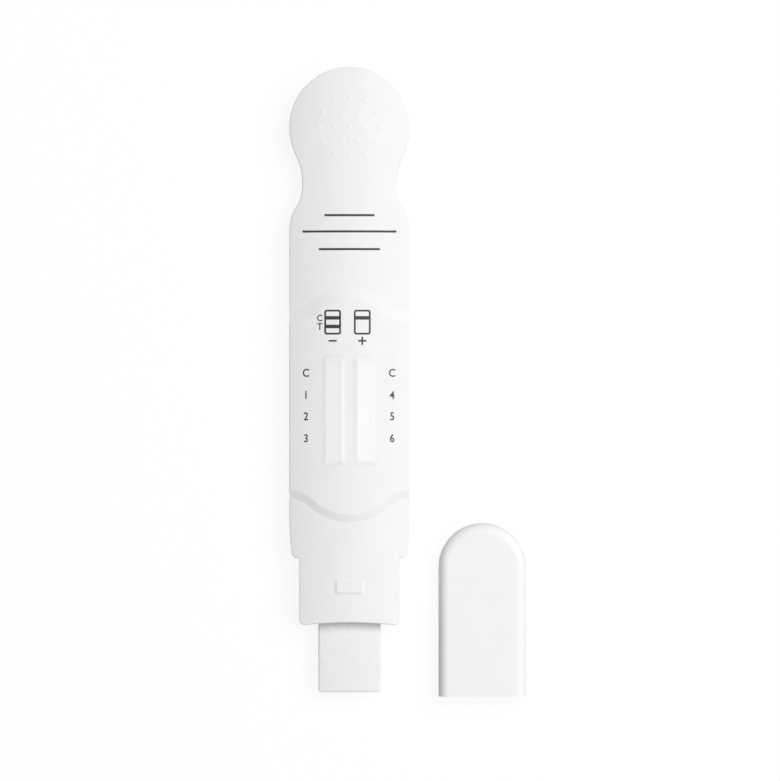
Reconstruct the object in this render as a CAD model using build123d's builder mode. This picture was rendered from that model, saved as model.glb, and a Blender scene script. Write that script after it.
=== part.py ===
from build123d import *
import os
from math import acos, asin, cos, degrees, radians, sin, sqrt, tan

# Handheld lateral flow cassette, lying on its back: +Y towards the round head, +Z out of the front face.
# The origin is on the centre line of the back face, half way along the housing and its wick.

# Driving dimensions, in millimetres and degrees

# Plan of the housing
body_width = 25.2
head_center_y = 52.9
neck_inset = 2.75
neck_flank_radius = 15.0
shoulder_radius = 8.9
taper_start_y = -27.8
taper_inset = 0.6
skirt_end_y = -37.3
skirt_corner_radius = 1.1
nose_step = 1.5
nose_length = 14.2
nose_corner_radius = 1.1
nose_end_hollow = 0.7

# Section of the housing
body_thickness = 10.0
crown_rise = 2.0
front_edge_radius = 0.25
rear_slope_width = 4.6
rear_rise = 2.0
rear_edge_radius = 0.9
shell_wall = 1.3
parting_chamfer = 0.15

# Raised panel between two arches on the front
panel_center_y = -5.0
panel_length = 50.3
panel_rise = 0.5
head_arch_bevel = 3.4
nose_arch_bevel = 2.0
arch_radius = 13.0
arch_flare_radius = 5.4

# Nose, its cap socket and the snap that holds the cap
nose_side_wall = 1.15
nose_roof = 1.6
cap_clearance = 0.15
latch_setback = 6.0
latch_pad_width = 6.75
latch_pad_length = 3.8
latch_pad_rise = 0.2
latch_pad_bevel = 0.8
latch_pad_roof_radius = 0.2
latch_bump_width = 6.0
latch_bump_length = 1.6
latch_bump_rise = 0.3
latch_recess_margin = 0.4
latch_recess_depth = 0.4

# Cap, taken off and lying beside the housing
cap_gap = 6.1
cap_mouth_y = -66.5
cap_length = 36.4
cap_wall = 1.0
cap_draft = 4.0
cap_edge_radius = 1.9

# Grip dots on the head
dot_diameter = 1.5
dot_height = 0.07
dot_ring_pitch = 3.2
dot_rings = 2
dots_per_ring = 6

# Test strips, side by side
strip_width = 4.6
strip_gap = 1.9
strip_clearance = 0.15
card_thickness = 0.3
membrane_thickness = 0.15
membrane_margin = 1.9
conjugate_thickness = 0.4
conjugate_length = 8.0
conjugate_overlap = 1.5
sample_thickness = 0.6
sample_overlap = 2.0
sample_on_wick = 5.5
absorbent_thickness = 0.8
absorbent_length = 22.0
absorbent_overlap = 1.2

# Windows, one over each strip
window_center_y = -6.45
window_width = 5.2
window_length = 23.1
lens_clearance = 0.005
lens_rise = 0.2
lens_bevel = 1.0
lens_roof_radius = 0.2
lens_seat_depth = 1.9
lens_flange = 0.9
lens_flange_lip = 1.2

# Wick
wick_width = 13.1
wick_thickness = 3.0
wick_exposed = 14.1
wick_inside = 7.3
wick_clearance = 0.1
wick_corner_radius = 0.5

# Strip bed in the rear shell and hold-down ribs in the front shell
card_gap = 0.3
bed_wall = 1.0
bed_lip = 0.5
bed_rib = 1.0
bed_rib_count = 6
hold_down_rib = 1.0
hold_down_gap = 0.05
absorbent_rib_inset = 4.0

# Pins that press the two shells together
pin_diameter = 2.0
pin_length = 2.6
pin_clearance = 0.05
pin_boss_diameter = 3.6
socket_boss_diameter = 4.0
boss_gap = 0.3
head_pin_spacing = 13.0
upper_pin_y = 24.5
lower_pin_y = -24.0

# How far construction shapes run past the faces that they cut or join
spill = 2.0
bevel_bite = 0.1

# Sizes that follow from the driving dimensions
body_half = body_width / 2
head_radius = body_half
head_top_y = head_center_y + head_radius
neck_half = body_half - neck_inset
neck_reach = head_radius + neck_flank_radius
neck_drop = sqrt(neck_reach**2 - (neck_half + neck_flank_radius) ** 2)
neck_y = head_center_y - neck_drop
shoulder_turn = acos(1 - neck_inset / (2 * shoulder_radius))
shoulder_y = neck_y - 2 * shoulder_radius * sin(shoulder_turn)
skirt_half = body_half - taper_inset
nose_half = skirt_half - nose_step
nose_end_y = skirt_end_y - nose_length
bulkhead_y = skirt_end_y + shell_wall

socket_height = body_thickness - shell_wall - nose_roof
socket_half = nose_half - nose_side_wall
parting_z = shell_wall + socket_height / 2
cap_half = socket_half - cap_clearance
cap_height = socket_height - 2 * cap_clearance
cap_x = body_half + cap_gap + cap_half
crown_radius = (body_half**2 + crown_rise**2) / (2 * crown_rise)
latch_y = skirt_end_y - latch_setback
latch_pad_corner = latch_pad_roof_radius + latch_pad_bevel
cap_inner_radius = cap_edge_radius - cap_wall / 2
dot_radius = (dot_diameter**2 / 4 + dot_height**2) / (2 * dot_height)
dot_root_angle = degrees(asin(1 - (dot_height + shell_wall / 2) / dot_radius))
bar_length = head_top_y - nose_end_y

strip_pitch = strip_width + strip_gap
window_low_y = window_center_y - window_length / 2
window_high_y = window_center_y + window_length / 2
window_corner_radius = lens_roof_radius + lens_bevel
lens_seat_z = body_thickness + panel_rise - lens_seat_depth
lens_length = window_length - 2 * lens_clearance
lens_bar_width = window_width - 2 * lens_clearance
lens_corner_radius = window_corner_radius - lens_clearance
flange_width = strip_pitch + window_width + 2 * lens_flange_lip
flange_length = window_length + 2 * lens_flange_lip

wick_tip_y = nose_end_y - wick_exposed
wick_inner_y = skirt_end_y + wick_inside
wick_top_z = parting_z + wick_thickness / 2
card_low_y = wick_inner_y + card_gap
membrane_low_y = window_low_y - membrane_margin
membrane_high_y = window_high_y + membrane_margin
conjugate_high_y = membrane_low_y + conjugate_overlap
conjugate_low_y = conjugate_high_y - conjugate_length
sample_low_y = wick_inner_y - sample_on_wick
sample_high_y = conjugate_low_y + sample_overlap
absorbent_low_y = membrane_high_y - absorbent_overlap
absorbent_high_y = absorbent_low_y + absorbent_length
card_high_y = absorbent_high_y
card_top_z = wick_top_z
card_bottom_z = card_top_z - card_thickness
membrane_top_z = card_top_z + membrane_thickness
conjugate_top_z = card_top_z + conjugate_thickness
channel_width = strip_width + 2 * strip_clearance
bed_half = (strip_pitch + channel_width) / 2
bed_stop_y = card_high_y + strip_clearance
bed_rib_pitch = (card_high_y - card_low_y - bed_rib) / (bed_rib_count - 1)
side_pin_x = bed_half + bed_wall + boss_gap + socket_boss_diameter / 2

# Each hold-down rib: where it crosses the strips, and the top of the pads under it
hold_downs = [
    (wick_inner_y - sample_on_wick / 2, card_top_z + sample_thickness),
    (membrane_high_y + absorbent_rib_inset, card_top_z + absorbent_thickness),
    (absorbent_high_y - absorbent_rib_inset, card_top_z + absorbent_thickness),
]

pin_places = [
    (-head_pin_spacing / 2, head_center_y),
    (head_pin_spacing / 2, head_center_y),
    (-side_pin_x, upper_pin_y),
    (side_pin_x, upper_pin_y),
    (-side_pin_x, lower_pin_y),
    (side_pin_x, lower_pin_y),
]


def crown_z(x, lift=0.0):
    """Height of the crowned front at a distance from the centre line."""
    return body_thickness + lift - crown_radius + sqrt(crown_radius**2 - x**2)


def on_crown(x, y):
    """Place on the crowned front, with its Z axis square to the surface."""
    return Location((x, y, crown_z(x)), (0, degrees(asin(x / crown_radius)), 0))


def body_plan(height):
    """Round head, waist, shoulders, straight sides and tapered skirt."""
    head_share = head_radius / neck_reach
    head_join = (
        (neck_half + neck_flank_radius) * head_share,
        head_center_y - neck_drop * head_share,
    )
    shoulder_join = (
        neck_half + shoulder_radius * (1 - cos(shoulder_turn)),
        neck_y - shoulder_radius * sin(shoulder_turn),
    )
    with BuildSketch(Plane.XY.offset(height)) as plan:
        with BuildLine():
            head = TangentArc((0, head_top_y), head_join, tangent=(1, 0))
            TangentArc(head_join, (neck_half, neck_y), tangent=head % 1)
            hollow = TangentArc((neck_half, neck_y), shoulder_join, tangent=(0, -1))
            TangentArc(shoulder_join, (body_half, shoulder_y), tangent=hollow % 1)
            Line((body_half, shoulder_y), (body_half, taper_start_y))
            TangentArc((body_half, taper_start_y), (skirt_half, skirt_end_y), tangent=(0, -1))
            Line((skirt_half, skirt_end_y), (0, skirt_end_y))
            mirror(about=Plane.YZ)
        make_face()
        skirt_end = plan.vertices().group_by(Axis.Y)[0]
        fillet(skirt_end.filter_by(lambda corner: abs(corner.X) > nose_half), skirt_corner_radius)
    return plan.sketch


def housing_plan(height):
    """The body's plan with the narrower nose, whose end is slightly hollow."""
    with BuildSketch(Plane.XY.offset(height)) as plan:
        with BuildLine():
            Polyline(
                (-nose_half, nose_end_y),
                (-nose_half, skirt_end_y + spill),
                (nose_half, skirt_end_y + spill),
                (nose_half, nose_end_y),
            )
            ThreePointArc(
                (nose_half, nose_end_y), (0, nose_end_y + nose_end_hollow), (-nose_half, nose_end_y)
            )
        make_face()
        fillet(plan.vertices().group_by(Axis.Y)[0], nose_corner_radius)
    return body_plan(height) + plan.sketch


def cavity_plan(height):
    """Inside of the body's walls, as far as the bulkhead behind the cap socket."""
    return offset(body_plan(height), amount=-shell_wall)


def panel_plan(height):
    """Raised panel between a U-shaped and a mirrored arch, level with the sides of the body."""
    reach = arch_radius + arch_flare_radius
    arch_height = reach - sqrt(reach**2 - body_half**2)
    round_share = arch_radius / reach
    arch_top_y = panel_center_y + panel_length / 2
    arch_join = (body_half * round_share, arch_top_y - arch_height * round_share)
    arch_foot = (body_half, arch_top_y - arch_height)
    with BuildSketch(Plane.XY.offset(height)) as plan:
        with BuildLine():
            arch = TangentArc((0, arch_top_y), arch_join, tangent=(1, 0))
            TangentArc(arch_join, arch_foot, tangent=arch % 1)
            Line(arch_foot, (body_half, panel_center_y))
            mirror(about=Plane.YZ)
            mirror(about=Plane.XZ.offset(-panel_center_y))
        make_face()
    return plan.sketch


def on_head_side(edge):
    """Whether an edge of the raised panel is on the head's side of the panel's middle."""
    return edge.center().Y > panel_center_y


def crown_section(lift):
    """Cross-section under the crowned front, lifted or lowered from the shell's own surface."""
    reach = body_half + spill
    with BuildSketch(Plane.XZ) as section:
        with BuildLine():
            ThreePointArc(
                (-reach, crown_z(reach, lift)), (0, body_thickness + lift), (reach, crown_z(reach, lift))
            )
            Polyline(
                (reach, crown_z(reach, lift)),
                (reach, -spill),
                (-reach, -spill),
                (-reach, crown_z(reach, lift)),
            )
        make_face()
    return section.sketch


def back_section(lift):
    """Cross-section above the back: a flat land that curves up to the sides."""
    land = body_half - rear_slope_width
    with BuildSketch(Plane.XZ) as section:
        with BuildLine():
            Line((0, lift), (land, lift))
            bend = TangentArc((land, lift), (body_half, rear_rise + lift), tangent=(1, 0))
            edge = PolarLine(bend @ 1, spill, direction=bend % 1)
            Line(edge @ 1, (edge.position_at(1).X, body_thickness))
            Line((edge.position_at(1).X, body_thickness), (0, body_thickness))
            mirror(about=Plane.YZ)
        make_face()
    return section.sketch


def socket_section(margin):
    """Cross-section of the cap, drafted both ways from its middle, with a margin all round."""
    half = cap_half + margin
    height = cap_height / 2 + margin
    narrow = half - height * tan(radians(cap_draft))
    with BuildSketch(Plane.XZ.offset(-skirt_end_y)) as section:
        with Locations((0, parting_z)):
            Polygon(
                (half, 0),
                (narrow, height),
                (-narrow, height),
                (-half, 0),
                (-narrow, -height),
                (narrow, -height),
            )
        corners = section.vertices().group_by(Axis.Z)
        fillet(corners[0] + corners[-1], cap_edge_radius + margin)
    return section.sketch


def cap_plan(height, inset):
    """Straight sides and a round end, run past the open mouth."""
    radius = cap_half - inset
    round_y = cap_mouth_y + cap_length - cap_half
    with BuildSketch(Plane.XY.offset(height)) as plan:
        with BuildLine():
            Line((cap_x - radius, round_y), (cap_x - radius, cap_mouth_y - spill))
            Line((cap_x - radius, cap_mouth_y - spill), (cap_x + radius, cap_mouth_y - spill))
            Line((cap_x + radius, cap_mouth_y - spill), (cap_x + radius, round_y))
            ThreePointArc((cap_x + radius, round_y), (cap_x, round_y + radius), (cap_x - radius, round_y))
        make_face()
    return plan.sketch


def flat_layer(low_y, high_y, bottom_z, thickness):
    """Side view of a layer that lies flat."""
    top_z = bottom_z + thickness
    return [(low_y, bottom_z), (high_y, bottom_z), (high_y, top_z), (low_y, top_z)]


def stepped_pad(low_y, step_y, high_y, low_z, high_z, thickness):
    """Side view of a pad that changes level where it climbs over the layer beneath it."""
    return [
        (low_y, low_z),
        (step_y, low_z),
        (step_y, high_z),
        (high_y, high_z),
        (high_y, high_z + thickness),
        (step_y, high_z + thickness),
        (step_y, low_z + thickness),
        (low_y, low_z + thickness),
    ]


def pin_circles(diameter):
    """A circle round each pin, on the parting plane."""
    with BuildSketch(Plane.XY.offset(parting_z)) as circles:
        with Locations(pin_places):
            Circle(diameter / 2)
    return circles.sketch


def wick_gate():
    """Opening in the bulkhead that the wick passes through."""
    with BuildSketch(Plane.XZ.offset(-bulkhead_y)) as gate:
        with Locations((0, parting_z)):
            Rectangle(wick_width + 2 * wick_clearance, wick_thickness + 2 * wick_clearance)
    return gate.sketch


# Raised panel, with a bevel along each arch, wider by the head than by the nose
with BuildPart() as raised_panel:
    extrude(panel_plan(parting_z), amount=body_thickness)
    extrude(crown_section(panel_rise), amount=bar_length, both=True, mode=Mode.INTERSECT)
    for arch, bevel in ((-1, head_arch_bevel), (0, nose_arch_bevel)):
        roof = raised_panel.faces().sort_by(Axis.Z)[-1]
        arches = roof.edges().filter_by(Axis.Y, reverse=True).group_by(on_head_side)
        chamfer(arches[arch], length=bevel, length2=panel_rise + bevel_bite, reference=roof)
    roof = raised_panel.faces().sort_by(Axis.Z)[-1]
    fillet(roof.edges().filter_by(Axis.Y), front_edge_radius)

# Latch pad, a low bevelled bump on the front of the nose
with BuildPart() as latch_pad:
    with BuildSketch(Plane.XY.offset(body_thickness - nose_roof / 2)):
        with Locations((0, latch_y)):
            RectangleRounded(latch_pad_width, latch_pad_length, latch_pad_corner)
    extrude(amount=body_thickness)
    extrude(crown_section(latch_pad_rise), amount=bar_length, both=True, mode=Mode.INTERSECT)
    roof = latch_pad.faces().sort_by(Axis.Z)[-1]
    chamfer(roof.edges(), length=latch_pad_bevel, length2=latch_pad_rise + bevel_bite, reference=roof)

# Hollows that are cut from the shells, with the bosses of the pins left standing in them
with BuildPart() as front_cavity:
    extrude(cavity_plan(parting_z), amount=body_thickness)
    extrude(crown_section(-shell_wall), amount=bar_length, both=True, mode=Mode.INTERSECT)
    extrude(pin_circles(pin_boss_diameter), amount=body_thickness, mode=Mode.SUBTRACT)

with BuildPart() as rear_cavity:
    extrude(cavity_plan(0), amount=parting_z)
    extrude(back_section(shell_wall), amount=bar_length, both=True, mode=Mode.INTERSECT)
    extrude(pin_circles(socket_boss_diameter), amount=-parting_z, mode=Mode.SUBTRACT)

# Cap socket in the nose
with BuildPart() as cap_socket:
    extrude(socket_section(cap_clearance), amount=nose_length + spill)

# Front shell
with BuildPart() as front_shell:
    extrude(housing_plan(parting_z), amount=body_thickness)
    extrude(crown_section(0), amount=bar_length, both=True, mode=Mode.INTERSECT)
    fillet(front_shell.faces().sort_by(Axis.Z)[-1].edges(), front_edge_radius)
    chamfer(front_shell.faces().sort_by(Axis.Z)[0].edges(), parting_chamfer)
    add(raised_panel.part)
    add(latch_pad.part)
    # Grip dots, in rings round the middle of the head: caps of a sphere, rooted in the wall
    for ring in range(dot_rings + 1):
        for spot in PolarLocations(ring * dot_ring_pitch, max(1, ring * dots_per_ring)):
            with Locations(on_crown(spot.position.X, head_center_y + spot.position.Y)):
                with Locations((0, 0, dot_height)):
                    Sphere(dot_radius, dot_root_angle, align=(Align.CENTER, Align.CENTER, Align.MAX))
    add(front_cavity.part, mode=Mode.SUBTRACT)
    add(cap_socket.part, mode=Mode.SUBTRACT)
    extrude(wick_gate(), amount=shell_wall, mode=Mode.SUBTRACT)
    # Windows through the panel, and the seat of the lens flange behind them
    with BuildSketch(Plane.XY.offset(parting_z)):
        with Locations((0, window_center_y)):
            with GridLocations(strip_pitch, 0, 2, 1):
                RectangleRounded(window_width, window_length, window_corner_radius)
    extrude(amount=body_thickness, mode=Mode.SUBTRACT)
    with BuildSketch(Plane.XY.offset(lens_seat_z)):
        with Locations((0, window_center_y)):
            Rectangle(flange_width + 2 * lens_clearance, flange_length + 2 * lens_clearance)
    extrude(amount=parting_z - lens_seat_z, mode=Mode.SUBTRACT)
    # Ribs that hold the pads down
    for rib_y, pad_top_z in hold_downs:
        with BuildSketch(Plane.XY.offset(pad_top_z + hold_down_gap)):
            with Locations((0, rib_y)):
                Rectangle(2 * bed_half, hold_down_rib)
        extrude(amount=crown_z(0, -shell_wall / 2) - pad_top_z - hold_down_gap)
    # Pins, each below a boss that comes down from the roof to the parting plane
    extrude(pin_circles(pin_diameter), amount=-pin_length)
    # Snap bump in the roof of the socket
    with BuildSketch(Plane.XY.offset(parting_z + socket_height / 2 - latch_bump_rise)):
        with Locations((0, latch_y)):
            Rectangle(latch_bump_width, latch_bump_length)
    extrude(amount=latch_bump_rise + nose_roof / 2)

# Rear shell
with BuildPart() as rear_shell:
    extrude(housing_plan(0), amount=parting_z)
    extrude(back_section(0), amount=bar_length, both=True, mode=Mode.INTERSECT)
    chamfer(rear_shell.faces().sort_by(Axis.Z)[-1].edges(), parting_chamfer)
    back = rear_shell.faces().filter_by(lambda face: face.normal_at().Z < -0.5)
    seams = back.edges().filter_by(Axis.Y).filter_by(lambda edge: edge.center().Z < rear_rise / 2)
    fillet([edge for edge in back.edges() if edge not in seams], rear_edge_radius)
    add(rear_cavity.part, mode=Mode.SUBTRACT)
    add(cap_socket.part, mode=Mode.SUBTRACT)
    extrude(wick_gate(), amount=shell_wall, mode=Mode.SUBTRACT)
    # Strip bed: walls beside and between the strips, and a stop at their far end
    with BuildSketch(Plane.XY.offset(shell_wall / 2)):
        with Locations((0, (card_low_y + bed_stop_y + bed_wall) / 2)):
            Rectangle(2 * (bed_half + bed_wall), bed_stop_y + bed_wall - card_low_y)
        with Locations((0, (card_low_y + bed_stop_y) / 2)):
            with GridLocations(strip_pitch, 0, 2, 1):
                Rectangle(channel_width, bed_stop_y - card_low_y, mode=Mode.SUBTRACT)
    extrude(amount=card_top_z + bed_lip - shell_wall / 2)
    # Cross ribs that carry the cards
    with BuildSketch(Plane.XY.offset(shell_wall / 2)):
        with Locations((0, (card_low_y + card_high_y) / 2)):
            with GridLocations(strip_pitch, bed_rib_pitch, 2, bed_rib_count):
                Rectangle(channel_width, bed_rib)
    extrude(amount=card_bottom_z - shell_wall / 2)
    # Ledge under the inner end of the wick
    with BuildSketch(Plane.XY.offset(shell_wall / 2)):
        with Locations((0, wick_inner_y - bed_rib / 2)):
            Rectangle(wick_width, bed_rib)
    extrude(amount=parting_z - wick_thickness / 2 - shell_wall / 2)
    # Sockets in the bosses, for the pins
    sockets = pin_circles(pin_diameter + 2 * pin_clearance)
    extrude(sockets, amount=-pin_length - pin_clearance, mode=Mode.SUBTRACT)

# Bars of the window lens: one fills the right window and stands out of it with a bevel, the other mirrors it
with BuildPart() as lens_bars:
    with BuildSketch(Plane.XY.offset(lens_seat_z)):
        with Locations((strip_pitch / 2, window_center_y)):
            RectangleRounded(lens_bar_width, lens_length, lens_corner_radius)
    extrude(amount=body_thickness)
    extrude(crown_section(panel_rise + lens_rise), amount=bar_length, both=True, mode=Mode.INTERSECT)
    roof = lens_bars.faces().sort_by(Axis.Z)[-1]
    chamfer(roof.edges(), length=lens_bevel, length2=lens_rise, reference=roof)
    mirror(about=Plane.YZ)

# Window lens: the two bars on a flange that seats behind the panel
with BuildPart() as window_lens:
    with BuildSketch(Plane.XY.offset(lens_seat_z)):
        with Locations((0, window_center_y)):
            Rectangle(flange_width, flange_length)
    extrude(amount=-lens_flange)
    add(lens_bars.part)

# Wick
with BuildPart() as collector_wick:
    with BuildSketch(Plane.XY.offset(parting_z - wick_thickness / 2)) as wick_plan:
        with Locations((0, (wick_tip_y + wick_inner_y) / 2)):
            Rectangle(wick_width, wick_inner_y - wick_tip_y)
        fillet(wick_plan.vertices().group_by(Axis.Y)[0], wick_corner_radius)
    extrude(amount=wick_thickness)

# Cap: a body drafted both ways from its middle, hollowed by the same form inset by the wall
with BuildPart() as cap_hollow:
    extrude(cap_plan(cap_height / 2, cap_wall), amount=cap_height / 2 - cap_wall, taper=cap_draft)
    top = cap_hollow.faces().sort_by(Axis.Z)[-1]
    fillet(top.edges().filter_by(lambda edge: edge.center().Y > cap_mouth_y), cap_inner_radius)
    mirror(about=Plane.XY.offset(cap_height / 2))

with BuildPart() as cap:
    extrude(cap_plan(cap_height / 2, 0), amount=cap_height / 2, taper=cap_draft)
    top = cap.faces().sort_by(Axis.Z)[-1]
    fillet(top.edges().filter_by(lambda edge: edge.center().Y > cap_mouth_y), cap_edge_radius)
    mirror(about=Plane.XY.offset(cap_height / 2))
    add(cap_hollow.part, mode=Mode.SUBTRACT)
    split(bisect_by=Plane.XZ.offset(-cap_mouth_y), keep=Keep.BOTTOM)
    # Shallow recess that the snap bump drops into
    with BuildSketch(Plane.XY):
        with Locations((cap_x, cap_mouth_y + latch_setback)):
            Rectangle(
                latch_bump_width + 2 * latch_recess_margin, latch_bump_length + 2 * latch_recess_margin
            )
    extrude(amount=latch_recess_depth, mode=Mode.SUBTRACT)

pieces = {
    "front_shell": front_shell,
    "rear_shell": rear_shell,
    "window_lens": window_lens,
    "collector_wick": collector_wick,
    "cap": cap,
}

# Test strips: each is a stack of layers on a backing card, from the wick to its absorbent pad
strip_layers = {
    "backing_card": flat_layer(card_low_y, card_high_y, card_bottom_z, card_thickness),
    "membrane": flat_layer(membrane_low_y, membrane_high_y, card_top_z, membrane_thickness),
    "conjugate_pad": stepped_pad(
        conjugate_low_y, membrane_low_y, conjugate_high_y, card_top_z, membrane_top_z, conjugate_thickness
    ),
    "sample_pad": stepped_pad(
        sample_low_y, conjugate_low_y, sample_high_y, card_top_z, conjugate_top_z, sample_thickness
    ),
    "absorbent_pad": stepped_pad(
        absorbent_low_y, membrane_high_y, absorbent_high_y, membrane_top_z, card_top_z, absorbent_thickness
    ),
}
for side, strip_x in (("left", -strip_pitch / 2), ("right", strip_pitch / 2)):
    for layer_name, side_view in strip_layers.items():
        with BuildPart() as layer:
            with BuildSketch(Plane.YZ.offset(strip_x)):
                Polygon(*side_view)
            extrude(amount=strip_width / 2, both=True)
        pieces[f"{side}_{layer_name}"] = layer

os.makedirs("parts", exist_ok=True)
for name, piece in pieces.items():
    piece.part.label = name
    export_step(piece.part, f"parts/{name}.step")
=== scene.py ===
import math
import random

import bmesh
import bpy
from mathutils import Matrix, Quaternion, Vector, noise
from mathutils.bvhtree import BVHTree


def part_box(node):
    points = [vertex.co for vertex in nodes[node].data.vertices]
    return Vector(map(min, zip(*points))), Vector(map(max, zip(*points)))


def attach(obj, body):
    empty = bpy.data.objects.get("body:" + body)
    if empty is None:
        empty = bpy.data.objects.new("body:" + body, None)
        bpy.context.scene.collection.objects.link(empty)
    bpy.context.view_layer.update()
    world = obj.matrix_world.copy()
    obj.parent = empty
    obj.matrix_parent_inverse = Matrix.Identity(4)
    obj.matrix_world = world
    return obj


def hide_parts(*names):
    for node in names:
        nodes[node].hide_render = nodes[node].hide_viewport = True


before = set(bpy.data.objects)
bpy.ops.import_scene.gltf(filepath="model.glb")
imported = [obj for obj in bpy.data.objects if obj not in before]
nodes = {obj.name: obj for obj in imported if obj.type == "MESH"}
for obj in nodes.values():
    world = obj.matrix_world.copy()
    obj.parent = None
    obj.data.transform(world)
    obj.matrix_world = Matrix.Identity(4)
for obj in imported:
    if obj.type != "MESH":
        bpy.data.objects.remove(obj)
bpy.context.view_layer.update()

# The frame is in metres. Sizes below are in millimetres, where a heading doesn't say otherwise, and angles
# are in degrees
MM = 0.001
BODY = "root"

# View: straight down, with the round head at the top of the picture
VIEW_CENTRE = (8.5, -2.2)
VIEW_WIDTH = 163.8
VIEW_PLANE = 6.0
CAMERA_HEIGHT = 1200.0
SENSOR_WIDTH = 36.0

# Light: a soft round key from the upper right, its distance and size in metres, and an even sky
KEY_LEVEL = 0.88
KEY_TILT = 25
KEY_TURN = 20
KEY_DISTANCE = 1.2
KEY_SIZE = 1.0
SKY_LEVEL = 0.15

# Floor, its size in metres: a tone for the light that it throws back, and a tone and a glow for the picture
FLOOR_SIZE = 4.0
FLOOR_DROP = 0.02
FLOOR_BOUNCE = 0.85
FLOOR_TONE = 0.11
FLOOR_GLOW = 0.9
FLOOR_ROUGHNESS = 0.9

# Materials: tones and roughness run from the first value to the second between these two noise levels
NOISE_LOW = 0.3
NOISE_HIGH = 0.7

# Moulded plastic: a fine spark-eroded skin over slight flow waves, with faint clouds of tone and gloss
HOUSING_TONES = ((0.867, 0.867, 0.862), (0.887, 0.887, 0.882))
CAP_TONES = ((0.90, 0.90, 0.895), (0.915, 0.915, 0.91))
PLASTIC_ROUGHNESS = (0.5, 0.6)
PLASTIC_IOR = 1.53
PLASTIC_GLOSS = 0.25
SKIN_SIZE = 0.16
SKIN_DEPTH = 0.006
FLOW_SIZE = 14.0
FLOW_STRETCH = (1, 2.5, 1)
FLOW_DEPTH = 0.02
CLOUD_SIZE = 6.0
GLOSS_SIZE = 2.5

# Lens: milky plastic with a slightly wavy face
LENS_TONES = ((0.868, 0.868, 0.868), (0.882, 0.882, 0.878))
LENS_ROUGHNESS = (0.38, 0.46)
LENS_IOR = 1.49
LENS_GLOSS = 0.3
LENS_CLARITY = 0.12
LENS_CLOUD_SIZE = 8.0
LENS_GLOSS_SIZE = 3.0
LENS_WAVE_SIZE = 7.0
LENS_WAVE_DEPTH = 0.01

# Felt and pads: fine strands along the strip, over soft clumps
FELT_TONES = ((0.86, 0.86, 0.855), (0.91, 0.91, 0.905))
FIBRE_TONES = ((0.87, 0.87, 0.865), (0.92, 0.92, 0.915))
CONJUGATE_TONES = ((0.74, 0.60, 0.60), (0.82, 0.70, 0.70))
PAD_TONES = ((0.84, 0.84, 0.83), (0.92, 0.92, 0.91))
PAD_ROUGHNESS = (0.82, 0.97)
PAD_SHEEN = 0.15
PAD_SHEEN_ROUGHNESS = 0.6
STRAND_SIZE = 0.12
STRAND_STRETCH = (1, 6, 1)
STRAND_DEPTH = 0.012
CLUMP_SIZE = 0.9
CLUMP_STRETCH = (1, 2, 1)
CLUMP_DEPTH = 0.03

# Card and membrane: flat sheets with a fine even tooth
CARD_TONES = ((0.88, 0.88, 0.88), (0.91, 0.91, 0.91))
CARD_ROUGHNESS = (0.4, 0.5)
MEMBRANE_TONES = ((0.92, 0.92, 0.915), (0.95, 0.95, 0.945))
MEMBRANE_ROUGHNESS = (0.8, 0.9)
SHEET_CLOUD_SIZE = 1.5
TOOTH_SIZE = 0.05
TOOTH_DEPTH = 0.006

# Ink: a thin film that stands on the front face and roots a little below it
INK_TONES = ((0.026, 0.026, 0.028), (0.040, 0.040, 0.042))
INK_ROUGHNESS = (0.42, 0.56)
INK_GLOSS = 0.25
INK_FILM_SIZE = 0.25
INK_FILM_DEPTH = 0.003
INK_RISE = 0.02
INK_SINK = 0.03
INK_STEP = 1.2
INK_WELD = 1e-5

# Printed marks: rules with their height on the face and their length, two key boxes with signs, and labels
RULE_LINES = [(34.5, 10.5), (31.1, 19.7), (27.4, 12.8)]
RULE_THICKNESS = 0.45
KEY_BOX_WIDTH = 3.5
KEY_BOX_HEIGHT = 5.2
KEY_BOX_Y = 12.1
KEY_BOX_CORNER = 0.5
KEY_BOX_LINE = 0.38
KEY_BAR = 0.75
CONTROL_BAR_Y = 13.0
TEST_BAR_Y = 11.2
NEGATIVE_KEY_X = -3.5
POSITIVE_KEY_X = 2.7
KEY_BARS = [(NEGATIVE_KEY_X, (CONTROL_BAR_Y, TEST_BAR_Y)), (POSITIVE_KEY_X, (CONTROL_BAR_Y,))]
KEY_LETTERS = [("C", CONTROL_BAR_Y), ("T", TEST_BAR_Y)]
KEY_LETTER_X = -6.2
KEY_LETTER_HEIGHT = 1.42
SIGN_Y = 8.2
SIGN_WIDTH = 1.7
SIGN_LINE = 0.36
LABEL_HEIGHT = 1.7
LABEL_ROWS = [1.5, -3.15, -7.6, -12.2]
LABEL_COLUMNS = [(-9.1, "C123"), (8.95, "C456")]
GLYPH_WEIGHT = 0.016
GLYPH_NARROWING = 0.88
GLYPH_STEPS = 6

# Wick: a pressed fibre pad with rounded edges, a crown that is a share of its thickness, and small swells.
# The tip rings are shares of the end section, and divide the face of the tip
WICK_SKIN = 0.04
WICK_EDGE = 0.35
WICK_EDGE_ANGLES = range(12, 90, 13)
WICK_CORNER = 0.6
WICK_STEP = 0.3
WICK_TIP_RINGS = (0.2, 0.4, 0.6, 0.8)
WICK_CROWN = 0.3
WICK_SWELL = 0.035
WICK_SWELL_SIZE = 1.8
WICK_RIPPLE = 0.02
WICK_RIPPLE_SIZE = (0.5, 1.6, 0.5)

# Loose fibres on the share of the wick's length that is outside the bulkhead
WICK_SHOWN = 0.78
FIBRE_COUNT = 780
FIBRE_SEED = 11
FIBRE_STEP = 0.35
FIBRE_POINTS = (5, 11)
FIBRE_RADIUS = (0.012, 0.024)
FIBRE_TAPER = 0.35
FIBRE_HEADING = 90
FIBRE_SPREAD = 38
FIBRE_CLIMB = 0.4
FIBRE_BEND = 9

# How finely a round corner and the straight side of a printed frame are divided
CORNER_STEPS = 6
SIDE_STEPS = 4

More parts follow.
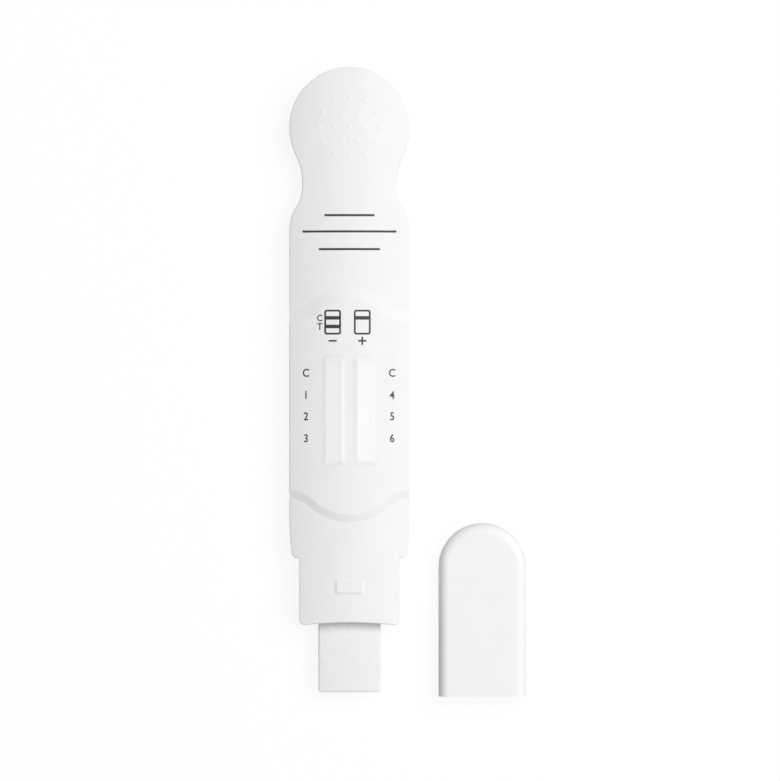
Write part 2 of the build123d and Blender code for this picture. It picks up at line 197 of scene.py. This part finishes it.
# Height in metres from which rays look down for the surface under the print
RAY_HEIGHT = 1.0


def show(thing):
    """Puts an object in the scene."""
    bpy.context.scene.collection.objects.link(thing)
    return thing


def mesh_piece(name, bm, material):
    """Closes off a bmesh as a shown piece of the object."""
    bmesh.ops.recalc_face_normals(bm, faces=bm.faces)
    mesh = bpy.data.meshes.new(name)
    bm.to_mesh(mesh)
    bm.free()
    mesh.materials.append(material)
    piece = show(bpy.data.objects.new(name, mesh))
    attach(piece, BODY)
    return piece


def surface_of(thing):
    """Search tree of a mesh's faces, for laying things on it."""
    mesh = thing.data
    corners = [vertex.co.copy() for vertex in mesh.vertices]
    return BVHTree.FromPolygons(corners, [face.vertices[:] for face in mesh.polygons])


def drop_on(surface, x, y):
    """Point where a ray straight down meets a surface."""
    return surface.ray_cast(Vector((x, y, RAY_HEIGHT)), Vector((0, 0, -1)))[0]


def join_loops(bm, here, there):
    """Faces between two closed loops of as many points."""
    for k in range(len(here)):
        after = (k + 1) % len(here)
        bm.faces.new((here[k], here[after], there[after], there[k]))


def add_tube(bm, loops):
    """Closed skin over a row of loops, with a face at each end."""
    for here, there in zip(loops, loops[1:]):
        join_loops(bm, here, there)
    bm.faces.new(loops[0])
    bm.faces.new(loops[-1])


def rounded_outline(x, y, width, height, radius, across=SIDE_STEPS, upright=SIDE_STEPS):
    """Points round a rectangle with round corners, with its straight sides divided."""
    points = []
    for quarter, (sx, sy) in enumerate([(1, 1), (-1, 1), (-1, -1), (1, -1)]):
        cx = x + sx * (width / 2 - radius)
        cy = y + sy * (height / 2 - radius)
        for step in range(CORNER_STEPS + 1):
            angle = math.radians(90) * (quarter + step / CORNER_STEPS)
            points.append((cx + radius * math.cos(angle), cy + radius * math.sin(angle)))
        side, count = (width, across) if quarter in (0, 2) else (height, upright)
        ahead = Vector((-math.sin(angle), math.cos(angle)))
        start = Vector(points[-1])
        points += [tuple(start + ahead * (side - 2 * radius) * k / count) for k in range(1, count)]
    return points


# Parts of materials

def shader_of(name):
    """New material with its node tree and its Principled shader."""
    material = bpy.data.materials.new(name)
    material.use_nodes = True
    tree = material.node_tree
    return material, tree, tree.nodes["Principled BSDF"]


def grain(tree, size, detail, stretch=(1, 1, 1)):
    """Noise whose features are about size millimetres across, drawn out along the stretch axes."""
    place = tree.nodes.new("ShaderNodeTexCoord")
    mapping = tree.nodes.new("ShaderNodeMapping")
    mapping.inputs["Scale"].default_value = [1 / (size * MM * share) for share in stretch]
    texture = tree.nodes.new("ShaderNodeTexNoise")
    texture.inputs["Scale"].default_value = 1.0
    texture.inputs["Detail"].default_value = detail
    tree.links.new(place.outputs["Object"], mapping.inputs["Vector"])
    tree.links.new(mapping.outputs["Vector"], texture.inputs["Vector"])
    return texture.outputs["Fac"]


def tint(tree, factor, tones, socket):
    """Colour that runs from the first tone to the second with a noise factor."""
    ramp = tree.nodes.new("ShaderNodeValToRGB")
    for stop, position, tone in zip(ramp.color_ramp.elements, (NOISE_LOW, NOISE_HIGH), tones):
        stop.position = position
        stop.color = (*tone, 1)
    tree.links.new(factor, ramp.inputs["Fac"])
    tree.links.new(ramp.outputs["Color"], socket)


def spread(tree, factor, values, socket):
    """Value that runs from the first to the second with a noise factor."""
    span = tree.nodes.new("ShaderNodeMapRange")
    span.inputs["From Min"].default_value = NOISE_LOW
    span.inputs["From Max"].default_value = NOISE_HIGH
    span.inputs["To Min"].default_value = values[0]
    span.inputs["To Max"].default_value = values[1]
    tree.links.new(factor, span.inputs["Value"])
    tree.links.new(span.outputs["Result"], socket)


def relief(tree, shader, *layers):
    """Bumps stacked from coarse to fine, each a noise and its depth in millimetres."""
    below = None
    for factor, depth in layers:
        bump = tree.nodes.new("ShaderNodeBump")
        bump.inputs["Distance"].default_value = depth * MM
        tree.links.new(factor, bump.inputs["Height"])
        if below is not None:
            tree.links.new(below, bump.inputs["Normal"])
        below = bump.outputs["Normal"]
    tree.links.new(below, shader.inputs["Normal"])


def choose(tree, factor, off, on, socket):
    """One value where a factor is 0 and another where it is 1."""
    span = tree.nodes.new("ShaderNodeMapRange")
    span.inputs["To Min"].default_value = off
    span.inputs["To Max"].default_value = on
    tree.links.new(factor, span.inputs["Value"])
    tree.links.new(span.outputs["Result"], socket)


def seen_directly(tree):
    """1 for rays that show the background: from the camera, off gloss or through glass."""
    path = tree.nodes.new("ShaderNodeLightPath")
    total = path.outputs["Is Camera Ray"]
    for ray in ("Is Glossy Ray", "Is Transmission Ray"):
        either = tree.nodes.new("ShaderNodeMath")
        either.operation = "MAXIMUM"
        tree.links.new(total, either.inputs[0])
        tree.links.new(path.outputs[ray], either.inputs[1])
        total = either.outputs["Value"]
    return total


# Materials

def moulded_plastic(name, tones):
    """White moulded plastic with a fine spark-eroded skin and slight flow waviness."""
    material, tree, shader = shader_of(name)
    skin = grain(tree, SKIN_SIZE, detail=3.0)
    flow = grain(tree, FLOW_SIZE, detail=1.0, stretch=FLOW_STRETCH)
    tint(tree, grain(tree, CLOUD_SIZE, detail=4.0), tones, shader.inputs["Base Color"])
    spread(tree, grain(tree, GLOSS_SIZE, detail=4.0), PLASTIC_ROUGHNESS, shader.inputs["Roughness"])
    relief(tree, shader, (flow, FLOW_DEPTH), (skin, SKIN_DEPTH))
    shader.inputs["IOR"].default_value = PLASTIC_IOR
    shader.inputs["Specular IOR Level"].default_value = PLASTIC_GLOSS
    return material


def milky_plastic(name):
    """Milky moulded plastic that lets the lamps through to the strips behind it."""
    material, tree, shader = shader_of(name)
    tint(tree, grain(tree, LENS_CLOUD_SIZE, detail=2.0), LENS_TONES, shader.inputs["Base Color"])
    spread(tree, grain(tree, LENS_GLOSS_SIZE, detail=3.0), LENS_ROUGHNESS, shader.inputs["Roughness"])
    relief(tree, shader, (grain(tree, LENS_WAVE_SIZE, detail=1.0), LENS_WAVE_DEPTH))
    shader.inputs["IOR"].default_value = LENS_IOR
    shader.inputs["Specular IOR Level"].default_value = LENS_GLOSS
    shader.inputs["Transmission Weight"].default_value = LENS_CLARITY
    path = tree.nodes.new("ShaderNodeLightPath")
    open_to_lamps = tree.nodes.new("ShaderNodeBsdfTransparent")
    choice = tree.nodes.new("ShaderNodeMixShader")
    tree.links.new(path.outputs["Is Shadow Ray"], choice.inputs["Fac"])
    tree.links.new(shader.outputs["BSDF"], choice.inputs[1])
    tree.links.new(open_to_lamps.outputs["BSDF"], choice.inputs[2])
    tree.links.new(choice.outputs["Shader"], tree.nodes["Material Output"].inputs["Surface"])
    return material


def fibre_pad(name, tones):
    """Absorbent felt: fine fibres that run along the strip, over a soft uneven body."""
    material, tree, shader = shader_of(name)
    strands = grain(tree, STRAND_SIZE, detail=3.0, stretch=STRAND_STRETCH)
    clumps = grain(tree, CLUMP_SIZE, detail=3.0, stretch=CLUMP_STRETCH)
    tint(tree, strands, tones, shader.inputs["Base Color"])
    spread(tree, clumps, PAD_ROUGHNESS, shader.inputs["Roughness"])
    relief(tree, shader, (clumps, CLUMP_DEPTH), (strands, STRAND_DEPTH))
    shader.inputs["Sheen Weight"].default_value = PAD_SHEEN
    shader.inputs["Sheen Roughness"].default_value = PAD_SHEEN_ROUGHNESS
    return material


def fine_sheet(name, tones, roughness):
    """Flat sheet with a fine even tooth, such as membrane or card."""
    material, tree, shader = shader_of(name)
    tooth = grain(tree, TOOTH_SIZE, detail=3.0)
    tint(tree, grain(tree, SHEET_CLOUD_SIZE, detail=3.0), tones, shader.inputs["Base Color"])
    spread(tree, tooth, roughness, shader.inputs["Roughness"])
    relief(tree, shader, (tooth, TOOTH_DEPTH))
    return material


def print_ink(name):
    """Dark grey pad-print ink, slightly uneven."""
    material, tree, shader = shader_of(name)
    film = grain(tree, INK_FILM_SIZE, detail=3.0)
    tint(tree, film, INK_TONES, shader.inputs["Base Color"])
    spread(tree, film, INK_ROUGHNESS, shader.inputs["Roughness"])
    relief(tree, shader, (film, INK_FILM_DEPTH))
    shader.inputs["Specular IOR Level"].default_value = INK_GLOSS
    return material


def pale_floor(name):
    """White table top that keeps soft shadows and stays white in the picture."""
    material, tree, shader = shader_of(name)
    shader.inputs["Roughness"].default_value = FLOOR_ROUGHNESS
    shader.inputs["Specular IOR Level"].default_value = 0.0
    shader.inputs["Emission Color"].default_value = (1, 1, 1, 1)
    seen = seen_directly(tree)
    choose(tree, seen, FLOOR_BOUNCE, FLOOR_TONE, shader.inputs["Base Color"])
    choose(tree, seen, 0.0, FLOOR_GLOW, shader.inputs["Emission Strength"])
    return material


def dress(material, *names):
    """Gives CAD nodes a finished material."""
    for name in names:
        mesh = nodes[name].data
        mesh.materials.clear()
        mesh.materials.append(material)


# Printed marks

def add_band(bm, edge_a, edge_b, closed=False):
    """Thin closed band between two lines of points: height 1 marks its face and -1 its underside."""
    loops = []
    for (ax, ay), (bx, by) in zip(edge_a, edge_b):
        corners = [(ax, ay, 1), (bx, by, 1), (bx, by, -1), (ax, ay, -1)]
        loops.append([bm.verts.new(corner) for corner in corners])
    if not closed:
        add_tube(bm, loops)
        return
    for here, there in zip(loops, loops[1:] + loops[:1]):
        join_loops(bm, here, there)


def add_bar(bm, x, y, width, height):
    """Printed rectangle, divided along its width so that it follows the crown."""
    count = math.ceil(width / INK_STEP)
    across = [x - width / 2 + width * k / count for k in range(count + 1)]
    add_band(bm, [(px, y - height / 2) for px in across], [(px, y + height / 2) for px in across])


def add_frame(bm, x, y, width, height, radius, line):
    """Printed outline of a rectangle with round corners."""
    outer = rounded_outline(x, y, width, height, radius)
    inner = rounded_outline(x, y, width - 2 * line, height - 2 * line, radius - line)
    add_band(bm, outer, inner, closed=True)


def add_glyph(bm, text, x, y, height):
    """Printed letter or number, scaled to a cap height and centred on a point."""
    curve = bpy.data.curves.new("glyph", "FONT")
    curve.body = text
    curve.extrude = 1.0
    curve.offset = GLYPH_WEIGHT
    curve.resolution_u = GLYPH_STEPS
    holder = show(bpy.data.objects.new("glyph", curve))
    bpy.context.view_layer.update()
    shape = holder.evaluated_get(bpy.context.evaluated_depsgraph_get())
    mesh = bpy.data.meshes.new_from_object(shape)
    xs = [vertex.co.x for vertex in mesh.vertices]
    ys = [vertex.co.y for vertex in mesh.vertices]
    scale = height / (max(ys) - min(ys))
    for vertex in mesh.vertices:
        vertex.co.x = x + scale * GLYPH_NARROWING * (vertex.co.x - (max(xs) + min(xs)) / 2)
        vertex.co.y = y + scale * (vertex.co.y - (max(ys) + min(ys)) / 2)
        vertex.co.z = math.copysign(1, vertex.co.z)
    bm.from_mesh(mesh)
    bpy.data.meshes.remove(mesh)
    bpy.data.objects.remove(holder)
    bpy.data.curves.remove(curve)


def add_keys(bm):
    """Two small pictures of a result, with their bars, letters and a minus and a plus sign."""
    inside = KEY_BOX_WIDTH - 2 * KEY_BOX_LINE
    for key_x, bar_rows in KEY_BARS:
        add_frame(bm, key_x, KEY_BOX_Y, KEY_BOX_WIDTH, KEY_BOX_HEIGHT, KEY_BOX_CORNER, KEY_BOX_LINE)
        for bar_y in bar_rows:
            add_bar(bm, key_x, bar_y, inside, KEY_BAR)
    for letter, letter_y in KEY_LETTERS:
        add_glyph(bm, letter, KEY_LETTER_X, letter_y, KEY_LETTER_HEIGHT)
    for key_x in (NEGATIVE_KEY_X, POSITIVE_KEY_X):
        add_bar(bm, key_x, SIGN_Y, SIGN_WIDTH, SIGN_LINE)
    arm = (SIGN_WIDTH - SIGN_LINE) / 2
    for arm_y in (SIGN_Y - (SIGN_WIDTH - arm) / 2, SIGN_Y + (SIGN_WIDTH - arm) / 2):
        add_bar(bm, POSITIVE_KEY_X, arm_y, SIGN_LINE, arm)


def build_print():
    """All the marks on the front, laid on the front shell as thin ink."""
    bm = bmesh.new()
    for y, width in RULE_LINES:
        add_bar(bm, 0, y, width, RULE_THICKNESS)
    add_keys(bm)
    for column_x, marks in LABEL_COLUMNS:
        for row_y, mark in zip(LABEL_ROWS, marks):
            add_glyph(bm, mark, column_x, row_y, LABEL_HEIGHT)
    bmesh.ops.remove_doubles(bm, verts=bm.verts, dist=INK_WELD)
    front = surface_of(nodes["front_shell"])
    for vertex in bm.verts:
        lift = INK_RISE if vertex.co.z > 0 else -INK_SINK
        spot = drop_on(front, vertex.co.x * MM, vertex.co.y * MM)
        vertex.co = spot + Vector((0, 0, lift * MM))
    return mesh_piece("front_print", bm, print_ink("ink"))


# Wick

def wick_rows(length):
    """Distances from the tip, close together where the ends round off."""
    turn = [WICK_EDGE * (1 - math.cos(math.radians(angle))) for angle in WICK_EDGE_ANGLES]
    count = math.ceil((length - 2 * WICK_EDGE) / WICK_STEP)
    middle = [WICK_EDGE + (length - 2 * WICK_EDGE) * k / count for k in range(count + 1)]
    return turn + middle + [length - share for share in reversed(turn)]


def wick_section(near_end, half_width, half_height):
    """Cross-section at a distance from the nearer end, drawn in where that end rounds off."""
    edge = max(0.0, 1 - near_end / WICK_EDGE)
    corner = max(0.0, 1 - near_end / WICK_CORNER)
    height = half_height - WICK_EDGE * (1 - math.sqrt(1 - edge**2))
    width = half_width - WICK_CORNER * (1 - math.sqrt(1 - corner**2))
    across = math.ceil(2 * half_width / WICK_STEP)
    upright = math.ceil(2 * half_height / WICK_STEP)
    section = rounded_outline(0, 0, 2 * width, 2 * height, WICK_EDGE, across, upright)
    return [(x, z * (1 - WICK_CROWN * (x / half_width) ** 2)) for x, z in section]


def wick_swell(at):
    """How far the felt stands out at a point: broad swells, and ripples along the fibres."""
    ripple = Vector([place / size for place, size in zip(at, WICK_RIPPLE_SIZE)])
    return WICK_SWELL * noise.noise(at / WICK_SWELL_SIZE) + WICK_RIPPLE * noise.noise(ripple)


def build_wick():
    """Felt tongue lofted from rounded sections, with the slight swells of pressed fibre."""
    low, high = (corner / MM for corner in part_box("collector_wick"))
    centre = (low + high) / 2
    half_width = (high.x - low.x) / 2 - WICK_SKIN
    half_height = (high.z - low.z) / 2 - WICK_SKIN
    length = high.y - low.y - 2 * WICK_SKIN
    rows = [(along, 1.0) for along in wick_rows(length)]
    tip_rows = [(rows[0][0], share) for share in WICK_TIP_RINGS]
    bm = bmesh.new()
    loops = []
    for along, share in tip_rows + rows:
        y = low.y + WICK_SKIN + along
        section = wick_section(min(along, length - along), half_width, half_height)
        loops.append([bm.verts.new((centre.x + x * share, y, centre.z + z * share)) for x, z in section])
    add_tube(bm, loops)
    bmesh.ops.recalc_face_normals(bm, faces=bm.faces)
    bm.normal_update()
    for vertex in bm.verts:
        vertex.co += vertex.normal * wick_swell(vertex.co)
    bmesh.ops.scale(bm, vec=(MM, MM, MM), verts=bm.verts)
    wick = mesh_piece("wick_felt", bm, fibre_pad("felt", FELT_TONES))
    for face in wick.data.polygons:
        face.use_smooth = True
    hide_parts("collector_wick")
    return wick


def add_fibre(bm, path, radius):
    """Thin square tube along points with their normals, tapered to its ends."""
    last = len(path) - 1
    rings = []
    for k, (point, normal) in enumerate(path):
        ahead = path[min(k + 1, last)][0] - path[max(k - 1, 0)][0]
        reach = radius * (FIBRE_TAPER if k in (0, last) else 1.0)
        side = ahead.cross(normal).normalized() * reach
        up = normal * reach
        rings.append([bm.verts.new(point + shift) for shift in (side, up, -side, -up)])
    add_tube(bm, rings)


def lay_fibre(felt, start, ahead, bend, count):
    """Points that creep over the felt, each with the felt's normal there."""
    path = []
    for _ in range(count):
        spot, normal = felt.find_nearest(start)[:2]
        path.append((spot, normal))
        ahead = Quaternion(normal, bend) @ ahead
        ahead = (ahead - normal * ahead.dot(normal)).normalized()
        start = spot + ahead * FIBRE_STEP * MM
    return path


def build_fibres(wick):
    """Loose fibres that lie on all faces of the part of the wick outside the bulkhead."""
    draw = random.Random(FIBRE_SEED)
    felt = surface_of(wick)
    low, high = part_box("collector_wick")
    outer = Vector((high.x, low.y + WICK_SHOWN * (high.y - low.y), high.z))
    bm = bmesh.new()
    for _ in range(FIBRE_COUNT):
        start = Vector([draw.uniform(*ends) for ends in zip(low, outer)])
        heading = math.radians(draw.gauss(FIBRE_HEADING, FIBRE_SPREAD))
        ahead = Vector((math.cos(heading), math.sin(heading), draw.gauss(0, FIBRE_CLIMB)))
        bend = math.radians(draw.uniform(-FIBRE_BEND, FIBRE_BEND))
        radius = draw.uniform(*FIBRE_RADIUS) * MM
        add_fibre(bm, lay_fibre(felt, start, ahead, bend, draw.randint(*FIBRE_POINTS)), radius)
    return mesh_piece("wick_fibres", bm, fibre_pad("fibre", FIBRE_TONES))


# Stage

def build_floor():
    """Wide table top just below the object."""
    half = FLOOR_SIZE / 2
    drop = -FLOOR_DROP * MM
    corners = [(-half, -half, drop), (half, -half, drop), (half, half, drop), (-half, half, drop)]
    mesh = bpy.data.meshes.new("floor")
    mesh.from_pydata(corners, [], [(0, 1, 2, 3)])
    mesh.materials.append(pale_floor("table"))
    floor = show(bpy.data.objects.new("floor", mesh))


def build_camera():
    """Camera straight above, whose picture is as wide as the view at the height of the view's plane."""
    lens = bpy.data.cameras.new("camera")
    lens.sensor_fit = "HORIZONTAL"
    lens.sensor_width = SENSOR_WIDTH
    lens.lens = SENSOR_WIDTH * (CAMERA_HEIGHT - VIEW_PLANE) / VIEW_WIDTH
    camera = show(bpy.data.objects.new("camera", lens))
    camera.location = Vector((*VIEW_CENTRE, CAMERA_HEIGHT)) * MM
    bpy.context.scene.camera = camera


def build_key():
    """Soft key light, aimed at the origin, with a level that doesn't change with its size or distance."""
    lamp = bpy.data.lights.new("key", "AREA")
    lamp.shape = "DISK"
    lamp.size = KEY_SIZE
    lamp.energy = KEY_LEVEL * math.pi**2 * (KEY_DISTANCE**2 + KEY_SIZE**2 / 4)
    key = show(bpy.data.objects.new("key", lamp))
    tilt = math.radians(KEY_TILT)
    turn = math.radians(KEY_TURN)
    aim = Vector((math.sin(tilt) * math.cos(turn), math.sin(tilt) * math.sin(turn), math.cos(tilt)))
    key.location = aim * KEY_DISTANCE
    key.rotation_euler = aim.to_track_quat("Z", "Y").to_euler()


def build_sky():
    """Even sky that lights at a low level and is white where it is seen."""
    world = bpy.data.worlds.new("sky")
    world.use_nodes = True
    tree = world.node_tree
    sky = tree.nodes["Background"]
    sky.inputs["Color"].default_value = (1, 1, 1, 1)
    choose(tree, seen_directly(tree), SKY_LEVEL, 1.0, sky.inputs["Strength"])
    bpy.context.scene.world = world
    bpy.context.scene.view_settings.view_transform = "Standard"


dress(moulded_plastic("housing_plastic", HOUSING_TONES), "front_shell", "rear_shell")
dress(moulded_plastic("cap_plastic", CAP_TONES), "cap")
dress(milky_plastic("lens_plastic"), "window_lens")
card = fine_sheet("card_plastic", CARD_TONES, CARD_ROUGHNESS)
membrane = fine_sheet("membrane_paper", MEMBRANE_TONES, MEMBRANE_ROUGHNESS)
conjugate = fibre_pad("conjugate_glass_fibre", CONJUGATE_TONES)
pad = fibre_pad("strip_pad", PAD_TONES)
for side in ("left", "right"):
    dress(card, f"{side}_backing_card")
    dress(membrane, f"{side}_membrane")
    dress(conjugate, f"{side}_conjugate_pad")
    dress(pad, f"{side}_sample_pad", f"{side}_absorbent_pad")

build_print()
build_fibres(build_wick())
build_floor()
build_camera()
build_key()
build_sky()
